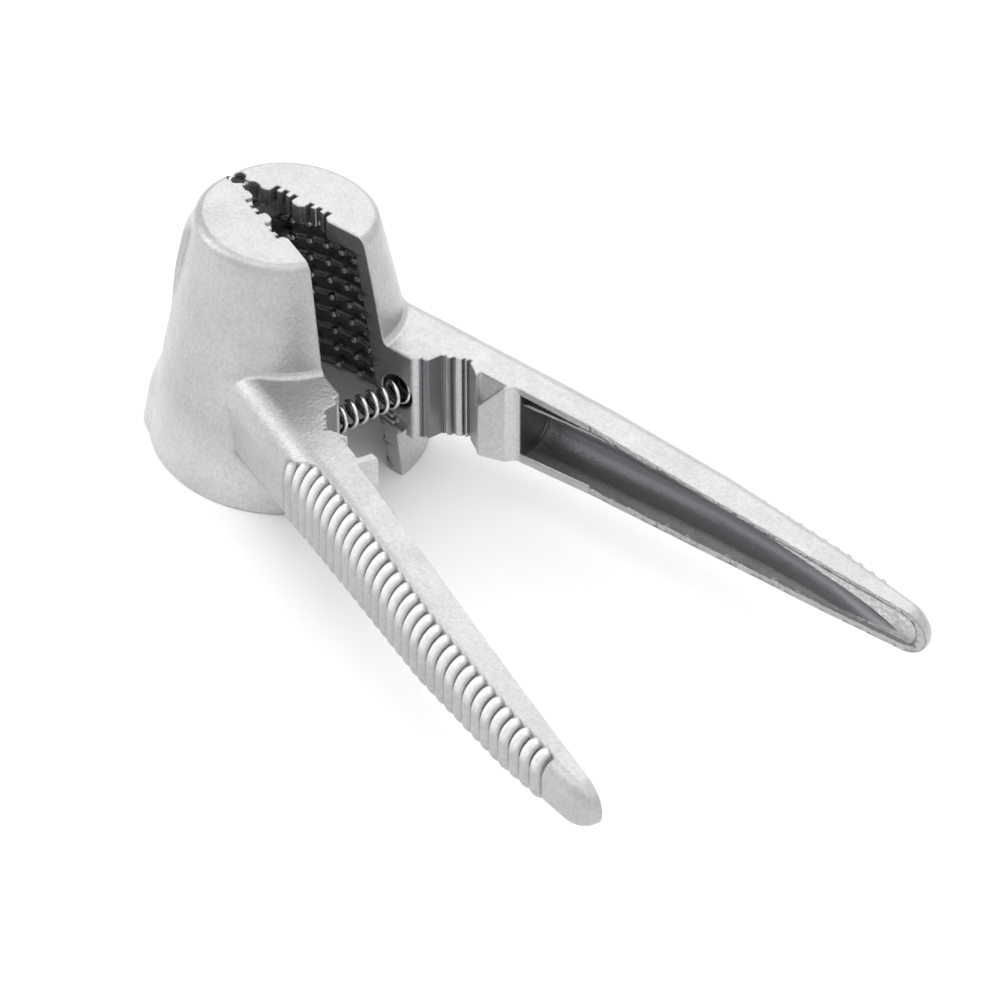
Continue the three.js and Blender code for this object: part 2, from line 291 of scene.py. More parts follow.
def rounded_corner(p, q, radius_p, radius_q):
    """Distance to the corner between two faces, p and q beyond each, rounded as an ellipse."""
    u = np.maximum(p / radius_p + 1, 0)
    v = np.maximum(q / radius_q + 1, 0)
    reach = np.sqrt(u * u + v * v) + 1e-6
    slope = np.sqrt((u / radius_p) ** 2 + (v / radius_q) ** 2) + 1e-7
    rounded = (reach - 1) * reach / slope
    return np.where((u > 0) & (v > 0), rounded, np.maximum(p, q)), np.arctan2(v, u)


def arm_section(x, y, z):
    """Distance to the plain arm, the way its surface faces there and the shoulder's mean radius."""
    out, bottom, top, round_out, round_up = stations(x)
    middle = (bottom + top) / 2
    into = np.clip((x - ARM_TIP + TIP_ROUND) / TIP_ROUND, 0, 1)
    shrink = np.sqrt(np.maximum(TIP_LEAST, 1 - into * into))
    z = middle + (z - middle) / shrink
    y = GRIP_FACE + (y - GRIP_FACE) / (TIP_THICKNESS + (1 - TIP_THICKNESS) * shrink)
    upper, up_turn = rounded_corner(y - out, z - top, round_out, round_up)
    lower, down_turn = rounded_corner(y - out, bottom - z, round_out, round_up * ARM_LOWER_ROUND)
    plain = np.maximum(upper, lower) * shrink
    plain = meet(plain, x - ARM_TIP, TIP_EDGE)
    return plain, np.where(z > middle, up_turn, -down_turn), (round_out + round_up) / 2


def grip_ribs(x, turn, radius, side):
    """How far the ribs rise at a place on the arm's side, and how much of the ribbed zone it is in."""
    end_turn = np.interp(x, RIB_END_X, RIB_END_TURN[side])
    reach = np.where(turn > 0, turn - end_turn, RIB_LOW_TURN - turn) * radius
    rib = np.clip(np.round((x - RIB_FIRST) / RIB_PITCH), 0, RIB_COUNT - 1)
    dx = x - RIB_FIRST - rib * RIB_PITCH
    off = np.sqrt(dx * dx + np.maximum(reach, 0) ** 2) / (RIB_PITCH * RIB_WIDTH)
    last = RIB_FIRST + (RIB_COUNT - 1) * RIB_PITCH
    far, close = RIB_FADE
    after_first = smooth(x, RIB_FIRST - far, RIB_FIRST - close)
    before_last = smooth(x, last + far, last + close)
    along = np.minimum(after_first, before_last)
    rise = RIB_HEIGHT * np.sqrt(np.maximum(1 - off * off, 0)) * along
    return rise, along * smooth(reach, *RIB_EDGE)


def arm_outside(x, y, z, side):
    """The arm's outer surface, sunk a little where the ribs stand on it."""
    plain, turn, radius = arm_section(x, y, z)
    rise, zone = grip_ribs(x, turn, radius, side)
    return plain - rise + RIB_SINK * zone


# The handle's inner face, very slightly hollowed along its length.
GRIP_X = (52.0, 70.0, 110.0, 158.0)
GRIP_Y = (6.65, 7.0, 7.1, 6.9)


def past_grip(x, y):
    """How far a point lies behind the handle's inner face."""
    return y - np.interp(x, GRIP_X, GRIP_Y)


# Plan outline of what is cleared between the parting plane and the arm's inner face as far as the
# handle: the serrated jaw, then the face and end of the stop block, which is longer on the front
# lever than on the back one.
JAW_OUTLINE = [
    (30.6, -6.0), (30.6, 0.1), (31.55, 1.35), (31.85, 1.95), (32.15, 1.65), (33.3, 2.15),
    (34.1, 5.2), (34.55, 5.15), (34.8, 5.75), (35.05, 5.25), (35.95, 5.35), (36.15, 6.25),
    (36.7, 6.35), (36.9, 5.95), (37.95, 6.55), (38.15, 7.3), (38.45, 7.2), (38.6, 6.75),
    (38.95, 6.85), (39.15, 7.65), (39.75, 7.5), (39.95, 6.75), (43.1, 4.75), (44.6, 3.6),
]
BLOCK_OUTLINE = {
    1: [(50.3, 5.0), (51.4, 6.3), (52.0, 6.65), (70.0, 7.0), (70.0, -6.0)],
    -1: [(45.8, 3.35), (52.4, 2.5), (52.0, 6.65), (70.0, 7.0), (70.0, -6.0)],
}

# Roundings of the casting's edges.
ARM_EDGE = 0.22
CORNER_EDGE = 0.25
LIP_EDGE = 0.45
ROOT_FILLET = 1.3
PARTING_EDGE = 0.35
RECESS_EDGE = 0.15
POCKET_EDGE = 0.3
MARK_EDGE = 0.2
LUG_ROOM_EDGE = 0.1
HOLE_EDGE = 0.2
LEDGE_FILLET = 0.2
LEDGE_SKIN = 0.8            # the thin rib keeps this far inside the arm's outer surface
MARK_SKIN = 0.6             # and the cast ribs this far inside the cup's

CUP_END = 34.0              # beyond this the cup adds nothing
ARM_ROOT = -3.0             # short of this the arm adds nothing
JAW_END = 53.0

CHANNEL_START = 52.7
CHANNEL_END = 148.6
CHANNEL_STEP = 86.5
LEDGE_DROP = 2.9
TONGUE_START = 106.0
TONGUE_WIDTH = 4.2
TONGUE_DEPTH = 0.8
LEDGE_DEPTH = 1.5
LEDGE_HALF = 0.32             # half the rib's thickness
LEDGE_BACK = 12.0             # the rib reaches this far, into the channel's wall
LEDGE_BELOW_TOP = 1.9
LIP = 1.4                     # the upper lip's height, and what it gains short of the step
LIP_GAIN = 0.35
LIP_EASE = 0.3
LOWER_LIP = 2.0
CHANNEL_WALL = 2.4
CHANNEL_TAPER_X = (112.0, 149.0)
CHANNEL_TAPER = 1.6           # how much thicker the wall is at the tip
CHANNEL_ROUND = (0.85, 0.8, 0.55)   # corners as parts of the arm's: outward, upward, downward
CHANNEL_START_EDGE = 0.12
CHANNEL_END_RADIUS = 3.2
CHANNEL_END_Z = 20.8
CHANNEL_END_SQUASH = 0.95
CHANNEL_END_EDGE = 0.4


def channel(x, y, z):
    """The hollow of the handle, open towards the other handle."""
    out, bottom, top, round_out, round_up = stations(x)
    lip = LIP + LIP_GAIN * smooth(x, CHANNEL_STEP + LIP_EASE, CHANNEL_STEP - LIP_EASE)
    taper = smooth(x, *CHANNEL_TAPER_X) * CHANNEL_TAPER
    depth = out - CHANNEL_WALL - taper
    tongue = TONGUE_WIDTH * np.clip((x - TONGUE_START) / (ARM_TIP - TONGUE_START), 0, 1)
    outward, upward, downward = CHANNEL_ROUND
    round_deep = round_out * outward
    under_top = z - top + lip
    over_bottom = bottom + LOWER_LIP - z
    upper, _ = rounded_corner(y - depth, under_top + tongue, round_deep, round_up * upward)
    lower, _ = rounded_corner(y - depth, over_bottom, round_deep, round_up * downward)
    shallow = np.maximum(np.maximum(under_top, over_bottom), past_grip(x, y) - TONGUE_DEPTH)
    hollow = np.minimum(np.maximum(upper, lower), shallow)
    hollow = meet(hollow, CHANNEL_START - x, CHANNEL_START_EDGE)
    end_x = CHANNEL_END - CHANNEL_END_RADIUS
    end_z = (z - CHANNEL_END_Z) * CHANNEL_END_SQUASH
    end = np.hypot(np.maximum(x - CHANNEL_END + CHANNEL_END_RADIUS, 0), end_z) - CHANNEL_END_RADIUS
    return np.where(x > end_x, meet(hollow, end, CHANNEL_END_EDGE), hollow)


def ledge(x, y, z):
    """The thin rib under the channel's upper lip, which meets the lip at the step."""
    top = np.interp(x, STATION_X, STATION_TOP)
    drop = LEDGE_DROP * (CHANNEL_STEP - x) / (CHANNEL_STEP - CHANNEL_START)
    level = z - (top - LEDGE_BELOW_TOP - drop)
    low = (CHANNEL_START, LEDGE_DEPTH, -LEDGE_HALF)
    high = (CHANNEL_STEP, LEDGE_BACK, LEDGE_HALF)
    return box(x, past_grip(x, y), level, low, high)


# The slanting cut: a point on its plane (X, Z), the plane's slope, and what it is kept within.
CORNER_POINT = (45.2, 24.7)
CORNER_SLOPE = (0.757, -0.653)
CORNER_X = (43.4, 51.6)
CORNER_DEEP = 5.9


def jaw_block_corner(x, y, z):
    """The slanting cut across the stop block's upper corner."""
    plane = (x - CORNER_POINT[0]) * CORNER_SLOPE[0] + (z - CORNER_POINT[1]) * CORNER_SLOPE[1]
    cuts = np.maximum(plane, x - CORNER_X[1])
    cuts = np.maximum(cuts, y - CORNER_DEEP)
    return np.maximum(cuts, CORNER_X[0] - x)


# Cast marks on the root: centres (X, Z) and leans in radians, then the low and high corners of each
# box, along the mark, into the metal and across the mark.
MARK_HOLLOW_PLACE = (26.0, 12.8, -0.22)
MARK_HOLLOW_BOX = ((-3.2, -2.0, -1.7), (3.2, 1.3, 1.7))
MARK_RIB_OFFSET = 0.75
MARK_RIB_BOX = ((-3.4, -0.12, -0.38), (3.4, 2.0, 0.38))
DASH_PLACES = ((25.2, 26.4, -0.7), (28.4, 26.4, 0.6))
DASH_BOX = ((-0.8, -0.14, -0.28), (0.8, 0.4, 0.28))


def root_marks(x, y, z):
    """Cast marks on the root's parting face: a slanting hollow with two ribs, and small dashes."""
    mark_x, mark_z, lean = MARK_HOLLOW_PLACE
    along, deep, across = turned(x - mark_x, y - PARTING_GAP, z - mark_z, lean)
    hollow = box(along, deep, across, *MARK_HOLLOW_BOX)
    ribs = box(along, deep, np.abs(across) - MARK_RIB_OFFSET, *MARK_RIB_BOX)
    for mark_x, mark_z, lean in DASH_PLACES:
        place = turned(x - mark_x, y - PARTING_GAP, z - mark_z, lean)
        ribs = np.minimum(ribs, box(*place, *DASH_BOX))
    return hollow, ribs


def turned(x, y, z, angle):
    """A point's place along axes that lean by an angle in the XZ plane."""
    c, s = math.cos(angle), math.sin(angle)
    return x * c + z * s, y, z * c - x * s


# --- The casting ------------------------------------------------------------------------------------

def lug(x, y, z, level):
    """One of this lever's own hinge lugs, with the web that ties it to the cup."""
    low = LUG_LEVELS[level] + LUG_GAP / 2
    high = LUG_LEVELS[level + 1] - (LUG_GAP / 2 if level < 3 else CROWN_LUG_DROP)
    radius = LUG_RADIUS[level]
    barrel = np.hypot(x - HINGE_X, y) - radius
    web = box(x, y, z * 0, (HINGE_X - WEB_BACK, 0.0, -1), (HINGE_X + radius, WEB_OUT, 1))
    web = np.maximum(web, side_of_parting(x, y))
    shape = np.minimum(barrel, web)
    return meet(shape, np.maximum(low - z, z - high), LUG_EDGE if level < 3 else CROWN_LUG_EDGE)


def lug_room(x, y, z, level):
    """The space kept clear for one of the other lever's lugs."""
    low = LUG_LEVELS[level] - LUG_GAP / 2
    high = LUG_LEVELS[level + 1] + LUG_GAP / 2
    barrel = np.hypot(x - HINGE_X, y) - LUG_RADIUS[level] - LUG_CLEARANCE
    return np.maximum(barrel, np.maximum(low - z, z - high))


def side_of_parting(x, y):
    """Beyond the parting face, and clear of the other lever behind the pin."""
    front = PARTING_GAP - y
    rear = (PARTING_GAP - y) * math.cos(OPEN_ANGLE) - (x - HINGE_X) * math.sin(OPEN_ANGLE)
    return np.maximum(front, rear)


# The pad behind the cup and the swell of its foot: height, then where each eases in and out, as a
# turn about the cup's axis and in Z.
PAD_RISE = 1.1
PAD_TURN = (math.radians(121), math.radians(125))
PAD_FOOT_Z = (26.0, 41.0)
PAD_HEAD_Z = (50.0, 46.5)
FOOT_RISE = 1.2
FOOT_TURN = (math.radians(112), math.radians(127))
FOOT_END_TURN = (math.radians(160), math.radians(145))
FOOT_Z = (14.5, 8.0)


def rear_pad(x, y, z):
    """The shallow raised pad down the back of the cup and the swell of its foot."""
    turn = np.arctan2(y, x)
    pad = PAD_RISE * smooth(turn, *PAD_TURN) * smooth(z, *PAD_FOOT_Z)
    pad = pad * smooth(z, *PAD_HEAD_Z)
    foot = FOOT_RISE * smooth(turn, *FOOT_TURN) * smooth(z, *FOOT_Z)
    foot = foot * smooth(turn, *FOOT_END_TURN)
    return pad + foot


def arm(x, y, z, side):
    """The arm with its jaw, stop block and channel, before it joins the cup."""
    outside = arm_outside(x, y, z, side)
    if x.min() > JAW_END:
        shape = cut(outside, past_grip(x, y), ARM_EDGE)
    else:
        shape = cut(outside, polygon(x, y, JAW_OUTLINE + BLOCK_OUTLINE[side]), ARM_EDGE)
        shape = cut(shape, jaw_block_corner(x, y, z), CORNER_EDGE)
    shape = cut(shape, channel(x, y, z), LIP_EDGE)
    shape = join(shape, np.maximum(ledge(x, y, z), outside + LEDGE_SKIN), LEDGE_FILLET)
    return np.maximum(shape, STATION_X[0] - x)


def lever(x, y, z, own_lugs, other_lugs, side):
    """The whole casting. Points beyond the cup skip all that belongs to it."""
    if x.min() > CUP_END:
        return arm(x, y, z, side)
    outside = cup_outside(x, y, z)
    metal = outside
    if x.max() > ARM_ROOT:
        metal = join(outside, arm(x, y, z, side), ROOT_FILLET)
    metal = meet(metal, side_of_parting(x, y), PARTING_EDGE)
    metal = cut(metal, cup_cavity(x, y, z), PARTING_EDGE)
    metal = cut(metal, crown_recesses(x, y, z, NOTCH_DEPTH[side]), RECESS_EDGE)
    pocket = np.hypot(x - SPRING_X, z - SPRING_Z) - POCKET_RADIUS
    pocket = np.maximum(pocket, y - POCKET_DEPTH)
    metal = cut(metal, pocket, POCKET_EDGE)
    hollow, ribs = root_marks(x, y, z)
    metal = np.minimum(cut(metal, hollow, MARK_EDGE), np.maximum(ribs, outside + MARK_SKIN))
    for level in own_lugs:
        metal = np.minimum(metal, np.maximum(lug(x, y, z, level), outside))
    for level in other_lugs:
        metal = cut(metal, lug_room(x, y, z, level), LUG_ROOM_EDGE)
    hole = np.hypot(x - HINGE_X, y) - PIN_HOLE
    return cut(metal, hole, HOLE_EDGE)


# --- Meshing ----------------------------------------------------------------------------------------

def evaluate(field, points):
    """The field at many points, a chunk at a time, so that a chunk can skip what is far from it."""
    chunks = np.array_split(points, max(1, len(points) // CHUNK))
    return np.concatenate([field(*chunk.T.astype(np.float32)) for chunk in chunks])


def sample(field, low, high):
    """Values of the field on a grid. Blocks far from the surface keep one coarse value."""
    size = CELL * BLOCK
    counts = [int(math.ceil((b - a) / size)) for a, b in zip(low, high)]
    blocks = np.stack(np.meshgrid(*[np.arange(n) for n in counts], indexing="ij"), -1).reshape(-1, 3)
    coarse = evaluate(field, low + size * (blocks + 0.5) - CELL / 2)
    values = coarse.reshape(counts).astype(np.float32)
    for axis in range(3):
        values = np.repeat(values, BLOCK, axis)
    near = blocks[np.abs(coarse) < size * NEAR]
    steps = np.arange(BLOCK)
    offsets = np.stack(np.meshgrid(steps, steps, steps, indexing="ij"), -1).reshape(-1, 3)
    index = (near[:, None, :] * BLOCK + offsets[None]).reshape(-1, 3)
    values[tuple(index.T)] = evaluate(field, low + index * CELL)
    return values


def surface_nets(values, low):
    """Vertices and quads of the surface where the sampled field is zero."""
    inside = values < 0
    shape = np.array(values.shape)
    strides = np.array([shape[1] * shape[2], shape[2], 1])
    flat = values.ravel()
    cells, points, quads = [], [], []
    for axis in range(3):
        ahead = np.moveaxis(inside, axis, 0)
        crossing = np.moveaxis(ahead[:-1] != ahead[1:], 0, axis)
        edges = np.argwhere(crossing)
        edges = edges[(edges > 0).all(1) & (edges < shape - 1).all(1)]
        start = edges @ strides
        end = start + strides[axis]
        share = flat[start] / (flat[start] - flat[end])
        point = edges.astype(float)
        point[:, axis] += share
        a, b = [strides[k] for k in range(3) if k != axis]
        around = [start, start - a, start - a - b, start - b]
        flip = inside.ravel()[start] == (axis == 1)
        quad = np.stack(around, 1)
        quad[flip] = quad[flip][:, ::-1]
        quads.append(quad)
        cells += around
        points += [point] * 4
    quads = np.concatenate(quads)
    cells = np.concatenate(cells)
    points = np.concatenate(points)
    names, index = np.unique(cells, return_inverse=True)
    total = np.bincount(index)
    vertices = np.stack([np.bincount(index, points[:, k]) / total for k in range(3)], 1)
    return low + vertices * CELL, np.searchsorted(names, quads)


def gradient(field, points, reach):
    """The field's slope at each point, by differences over the given reach."""
    slopes = []
    for axis in range(3):
        ahead, behind = points.copy(), points.copy()
        ahead[:, axis] += reach
        behind[:, axis] -= reach
        slopes.append((evaluate(field, ahead) - evaluate(field, behind)) / (2 * reach))
    return np.stack(slopes, 1)


def settle(field, points):
    """Moves each vertex onto the true surface, by no more than half a cell."""
    slope = gradient(field, points, SETTLE_REACH)
    value = evaluate(field, points)
    step = slope * (value / np.maximum((slope * slope).sum(1), LEAST_SLOPE))[:, None]
    length = np.maximum(np.linalg.norm(step, axis=1), 1e-9)
    return points - step * np.minimum(1, CELL * 0.5 / length)[:, None]


def lever_mesh(name, own_lugs, other_lugs, side):
    """Builds one lever's mesh. side is 1 for the back lever and -1 for its mirror image."""
    def field(x, y, z):
        return lever(x, y, z, own_lugs, other_lugs, side)

    low = np.array(GRID_LOW)
    high = np.array([ARM_TIP + GRID_MARGIN, GRID_WIDTH_Y, CUP_HEIGHT + GRID_MARGIN])
    vertices, quads = surface_nets(sample(field, low, high), low)
    vertices = settle(field, vertices)

    mesh = bpy.data.meshes.new(name)
    placed = to_world(vertices, side)
    if side < 0:
        quads = quads[:, ::-1]
    mesh.from_pydata(placed.tolist(), [], quads.tolist())
    mesh.polygons.foreach_set("use_smooth", [True] * len(mesh.polygons))
    mesh.update()
    piece = bpy.data.objects.new(name, mesh)
    bpy.context.scene.collection.objects.link(piece)
    thin(piece, MOST_FACES / (2.0 * len(quads)))
    places = vertex_places(piece, side)
    set_normals(piece.data, field, places, side)
    mark_surface(piece.data, places, side)
    return piece


def to_world(points, side):
    """From a shut lever's frame in millimetres to the part's frame in metres."""
    angle = OPEN_ANGLE * side
    x = points[:, 0] - HINGE_X
    y = points[:, 1] * side
    c, s = math.cos(angle), math.sin(angle)
    world = np.stack([x * c - y * s + HINGE_X + ORIGIN_X, x * s + y * c, points[:, 2]], 1)
    return world * MM


def vertex_places(piece, side):
    """The piece's vertices in the lever's frame: the inverse of to_world."""
    places = np.empty(len(piece.data.vertices) * 3)
    piece.data.vertices.foreach_get("co", places)
    points = places.reshape(-1, 3) / MM
    angle = -OPEN_ANGLE * side
    x = points[:, 0] - ORIGIN_X - HINGE_X
    y = points[:, 1]
    c, s = math.cos(angle), math.sin(angle)
    return np.stack([x * c - y * s + HINGE_X, (x * s + y * c) * side, points[:, 2]], 1)


def set_normals(mesh, field, places, side):
    """Shades by the field's slope. A corner of a flat face keeps the face's own direction, where
    the slope at that corner already belongs to a rounded edge."""
    slope = gradient(field, places, NORMAL_REACH)
    slope /= np.maximum(np.linalg.norm(slope, axis=1), 1e-6)[:, None]
    angle = OPEN_ANGLE * side
    c, s = math.cos(angle), math.sin(angle)
    x, y = slope[:, 0], slope[:, 1] * side
    at_vertex = np.stack([x * c - y * s, x * s + y * c, slope[:, 2]], 1)
    faces, loops = len(mesh.polygons), len(mesh.loops)
    centre, facing = np.empty(faces * 3), np.empty(faces * 3)
    corner, sides = np.empty(loops, dtype=np.int64), np.empty(faces, dtype=np.int64)
    mesh.polygons.foreach_get("center", centre)
    mesh.polygons.foreach_get("normal", facing)
    mesh.polygons.foreach_get("loop_total", sides)
    mesh.loops.foreach_get("vertex_index", corner)
    normals = at_vertex[corner]
    flat = np.repeat(facing.reshape(-1, 3), sides, axis=0)
    reach = to_world(places, side)[corner] - np.repeat(centre.reshape(-1, 3), sides, axis=0)
    reach = np.linalg.norm(reach, axis=1) / MM
    turned_by = np.degrees(np.arccos(np.clip((normals * flat).sum(1), -1, 1)))
    keep_flat = (smooth(turned_by, *FLAT_TURN) * smooth(reach, *FLAT_REACH))[:, None]
    normals = normals * (1 - keep_flat) + flat * keep_flat
    normals /= np.maximum(np.linalg.norm(normals, axis=1), 1e-6)[:, None]
    mesh.normals_split_custom_set(normals.tolist())


def thin(piece, ratio):
    """Collapses the smallest faces until the mesh is light enough."""
    if ratio >= 1:
        return
    modifier = piece.modifiers.new("thin", "DECIMATE")
    modifier.ratio = ratio
    graph = bpy.context.evaluated_depsgraph_get()
    mesh = bpy.data.meshes.new_from_object(piece.evaluated_get(graph))
    piece.modifiers.remove(modifier)
    old = piece.data
    piece.data = mesh
    mesh.name = old.name
    bpy.data.meshes.remove(old)


# Grooves of the jaw, darkened with painted shade: X, half-width, darkness.
JAW_GROOVES = (
    (31.95, 0.3, 1.0), (33.7, 0.55, 0.9), (34.35, 0.2, 1.0), (36.35, 0.4, 0.8), (38.3, 0.2, 1.0),
    (39.35, 0.3, 0.7), (41.4, 1.5, 0.35),
)


# Ranges that the marks ease over, mm unless said: from none to all of the mark.
NEAR_FACE = (0.3, 0.1)          # distance from a marked face
ON_CAVITY = (0.5, 0.1)          # distance outside the cavity's plain wall
STUD_TOPS = (1.2, 1.5)          # distance that metal stands in from that wall
VALLEY_FLOORS = (0.45, 0.1)
VALLEY_TOP_Z = (46.0, 44.0)
CAVITY_TOP_EASE = 0.5
POCKET_EASE = (0.4, 0.1)        # beyond the pocket's radius
POCKET_MOUTH_Y = (0.4, 1.2)
POCKET_END_Y = (6.0, 5.5)
ON_PARTING = (0.3, 0.12)
PARTING_END_X = (31.0, 30.6)
JAW_START_X = (30.6, 31.0)
JAW_END_X = (52.8, 52.6)
JAW_TOP_Z = (30.3, 30.1)
GROOVE_TOP_Z = (30.2, 30.0)
GROOVE_EASE = 0.25
ON_CHANNEL = (0.35, 0.15)
CHANNEL_INSIDE = (0.5, 1.0)     # past the handle's inner face
CHANNEL_EASE = 0.5
# The channel's end wall gets painted shade:
END_WALL_PAST = (2.2, 0.2)      # past the channel's start, and short of it
END_WALL_SHORT = (0.7, 0.3)
END_WALL_Y = (6.7, 7.1)
CHANNEL_LOW = (0.5, 0.34)       # share of the arm's height over which painted shade eases in, going down
RECESS_TOP_Z = (52.4, 51.8)
RECESS_START_X = (-13.0, -12.0)
RECESS_END_Y = (3.5, 3.0)
# Ranges for the ribs' painted highlights and painted shade:
RIB_OUTSIDE = (-1.6, -1.2)      # depth below the arm's plain surface
RIB_CRESTS = (0.75, 1.15)       # rise of the rib
RIB_ROOTS = (0.6, 0.2)
RIB_LIT_TURN = (0.05, 0.6)      # radians up the shoulder


def cup_marks(x, y, z):
    """Painted shade over the cup's inside and pocket and in its valleys; painted highlights on studs."""
    wall, _, _ = cavity_outline(x, y, z)
    inside = smooth(wall, *ON_CAVITY) * smooth(z, CAVITY_TOP + CAVITY_TOP_EASE, CAVITY_TOP)
    far, close = POCKET_EASE
    from_axis = np.hypot(x - SPRING_X, z - SPRING_Z)
    pocket = smooth(from_axis, POCKET_RADIUS + far, POCKET_RADIUS + close)
    inside = np.maximum(inside, pocket * smooth(y, *POCKET_MOUTH_Y) * smooth(y, *POCKET_END_Y))
    return {
        # cup_inside carries painted shade, valley painted shade, and stud a painted highlight on the stud
        # tops.
        "cup_inside": inside,
        "stud": smooth(-wall, *STUD_TOPS) * inside,
        "valley_shade": smooth(-wall, *VALLEY_FLOORS) * inside * smooth(z, *VALLEY_TOP_Z),
    }


def parting_mark(x, y):
    """The parting face, as far as the jaw."""
    return smooth(np.abs(side_of_parting(x, y)), *ON_PARTING) * smooth(x, *PARTING_END_X)


def jaw_grooves(x, z, plan):
    """Painted shade in the grooves of the serrated jaw, where plan is the distance from its outline."""
    grooves = np.zeros(len(x))
    for middle, half, dark in JAW_GROOVES:
        grooves = np.maximum(grooves, dark * smooth(np.abs(x - middle), half + GROOVE_EASE, half))
    return grooves * smooth(z, *GROOVE_TOP_Z) * smooth(plan, *NEAR_FACE)


def jaw_mark(x, y, z, plan):
    """The faces of the jaw and of the stop block."""
    facet = np.abs(jaw_block_corner(x, y, z))
    jaw = smooth(np.minimum(plan, facet), *NEAR_FACE) * smooth(x, *JAW_START_X) * smooth(x, *JAW_END_X)
    return jaw * smooth(z, *JAW_TOP_Z)


def channel_marks(x, y, z):
    """Painted shade on the wall at the channel's start, and the rest of the channel."""
    past_far, past_close = END_WALL_PAST
    short_far, short_close = END_WALL_SHORT
    end_wall = smooth(x, CHANNEL_START + past_far, CHANNEL_START + past_close)
    end_wall = end_wall * smooth(x, CHANNEL_START - short_far, CHANNEL_START - short_close)
    on_channel = smooth(np.abs(channel(x, y, z)), *ON_CHANNEL)
    end_wall = end_wall * smooth(y, *END_WALL_Y) * on_channel
    grip = smooth(past_grip(x, y), *CHANNEL_INSIDE)
    grip = grip * smooth(x, CHANNEL_START, CHANNEL_START + CHANNEL_EASE)
    return end_wall, grip * on_channel * (1 - end_wall)


def recess_shade(x, y, z, side):
    """Painted shade in the crown's recesses and notches."""
    distance = np.abs(crown_recesses(x, y, z, NOTCH_DEPTH[side]))
    recess = smooth(distance, *NEAR_FACE) * smooth(z, *RECESS_TOP_Z)
    return recess * smooth(x, *RECESS_START_X) * smooth(y, *RECESS_END_Y)


def rib_marks(x, y, z, side):
    """Painted highlights on the ribs' crests where light falls, and painted shade in their grooves."""
    plain, turn, radius = arm_section(x, y, z)
    rise, zone = grip_ribs(x, turn, radius, side)
    zone = zone * smooth(plain, *RIB_OUTSIDE)
    return {
        "rib_highlight": zone * smooth(rise, *RIB_CRESTS) * smooth(turn, *RIB_LIT_TURN),
        "rib_root_shade": zone * smooth(rise, *RIB_ROOTS),
    }


def mark_surface(mesh, places, side):
    """Stores, for the material, which part of the casting each vertex is on.

    They are the cup's inside, painted darker as shade, with painted highlights on its studs and
    painted shade in the valleys between its ridges, the parting and jaw faces, painted shade in the
    jaw's grooves, the channel's end wall and the crown's recesses, the handle's channel with painted
    shade low in it, and painted highlights on the ribs' crests with painted shade at their roots.
    """
    x, y, z = places.T
    plan = np.abs(polygon(x, y, JAW_OUTLINE + BLOCK_OUTLINE[side]))
    end_wall, grip = channel_marks(x, y, z)
    # Painted shade in the jaw's grooves, on the channel's end wall and in the crown's recesses.
    hollow_shade = np.maximum(jaw_grooves(x, z, plan), end_wall)
    hollow_shade = np.maximum(hollow_shade, recess_shade(x, y, z, side))
    bottom, top = stations(x)[1:3]
    share = (z - bottom) / (top - bottom)
    marks = cup_marks(x, y, z)
    marks["parting_face"] = parting_mark(x, y)
    marks["jaw_face"] = jaw_mark(x, y, z, plan)
    marks["hollow_shade"] = hollow_shade
    marks["channel"] = grip
    # Painted shade low in the channel.
    marks["channel_low_shade"] = grip * smooth(share, *CHANNEL_LOW)
    marks.update(rib_marks(x, y, z, side))
    for label, values in marks.items():
        layer = mesh.attributes.new(label, "FLOAT", "POINT")
        layer.data.foreach_set("value", values.astype(np.float32))


# --- Pieces -----------------------------------------------------------------------------------------

pin_low, pin_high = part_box("hinge_pin")
ORIGIN_X = (pin_low.x + pin_high.x) / 2 / MM - HINGE_X

back_lever = lever_mesh("back_lever", (1, 3), (0, 2), 1)
front_lever = lever_mesh("front_lever", (0, 2), (1, 3), -1)


COIL_RADIUS = 2.4 * MM
WIRE_RADIUS = 0.52 * MM
COIL_TURNS = 9.0
COIL_STEPS = 40               # rings of the wire in one turn, and the sides of a ring
WIRE_SIDES = 12
COIL_INSET = 0.0003           # the coil ends this far inside the CAD spring's ends, m
COIL_EASE = 0.012             # how unevenly the turns are spaced
COIL_INSIDE = (0.15, -0.45)   # how far a wire's side faces the coil's axis, from unshaded to full painted shade


